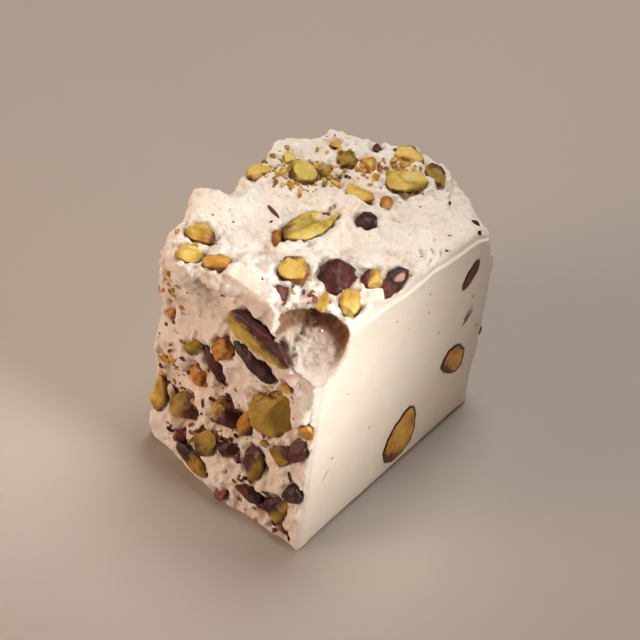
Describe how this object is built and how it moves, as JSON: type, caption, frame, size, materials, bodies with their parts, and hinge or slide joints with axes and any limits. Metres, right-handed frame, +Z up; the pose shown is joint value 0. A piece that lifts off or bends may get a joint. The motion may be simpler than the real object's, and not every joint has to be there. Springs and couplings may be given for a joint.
{
  "type": "pistachio halva wedge",
  "caption": "Block of sesame halva cut by hand, narrower at the top, with smooth knife-cut sides, a rough torn front, back and top, and whole and broken pistachio kernels set into it.",
  "frame": {"origin": "on the flat underside that it rests on, close to its middle", "axes": "+Z up; +X out of the smooth knife-cut side that shows; -Y out of the torn side with the most pistachios"},
  "size_m": [0.0441, 0.0632, 0.0584],
  "materials": {
    "halva": "matte",
    "pistachio_green": "satin",
    "pistachio_olive": "satin",
    "pistachio_gold": "satin",
    "pistachio_amber": "satin",
    "pistachio_skin": "satin"
  },
  "bodies": {
    "root": {"halva": "halva", "pistachio_back_01": "pistachio_olive", "pistachio_back_02": "pistachio_amber", "pistachio_back_03": "pistachio_olive", "pistachio_back_04": "pistachio_skin", "pistachio_back_05": "pistachio_skin", "pistachio_back_06": "pistachio_skin", "pistachio_back_07": "pistachio_amber", "pistachio_back_08": "pistachio_green", "pistachio_back_09": "pistachio_green", "pistachio_back_10": "pistachio_skin", "pistachio_back_11": "pistachio_olive", "pistachio_back_12": "pistachio_olive", "pistachio_knife_01": "pistachio_amber", "pistachio_knife_02": "pistachio_amber", "pistachio_knife_03": "pistachio_skin", "pistachio_left_01": "pistachio_amber", "pistachio_left_02": "pistachio_green", "pistachio_left_03": "pistachio_gold", "pistachio_top_01": "pistachio_green", "pistachio_top_02": "pistachio_skin", "pistachio_top_03": "pistachio_green", "pistachio_top_04": "pistachio_green", "pistachio_top_05": "pistachio_gold", "pistachio_top_06": "pistachio_gold", "pistachio_top_07": "pistachio_gold", "pistachio_top_08": "pistachio_amber", "pistachio_top_09": "pistachio_gold", "pistachio_top_10": "pistachio_olive", "pistachio_top_11": "pistachio_gold", "pistachio_top_12": "pistachio_olive", "pistachio_top_13": "pistachio_skin", "pistachio_top_14": "pistachio_gold", "pistachio_top_15": "pistachio_skin", "pistachio_top_16": "pistachio_gold", "pistachio_top_17": "pistachio_gold", "pistachio_torn_01": "pistachio_green", "pistachio_torn_02": "pistachio_olive", "pistachio_torn_03": "pistachio_skin", "pistachio_torn_04": "pistachio_amber", "pistachio_torn_05": "pistachio_amber", "pistachio_torn_06": "pistachio_skin", "pistachio_torn_07": "pistachio_gold", "pistachio_torn_08": "pistachio_olive", "pistachio_torn_09": "pistachio_green", "pistachio_torn_10": "pistachio_amber", "pistachio_torn_11": "pistachio_olive", "pistachio_torn_12": "pistachio_skin", "pistachio_torn_13": "pistachio_olive", "pistachio_torn_14": "pistachio_skin", "pistachio_torn_15": "pistachio_olive", "pistachio_torn_16": "pistachio_olive", "pistachio_torn_17": "pistachio_skin", "pistachio_torn_18": "pistachio_skin", "pistachio_torn_19": "pistachio_olive"}
  },
  "joints": []
}
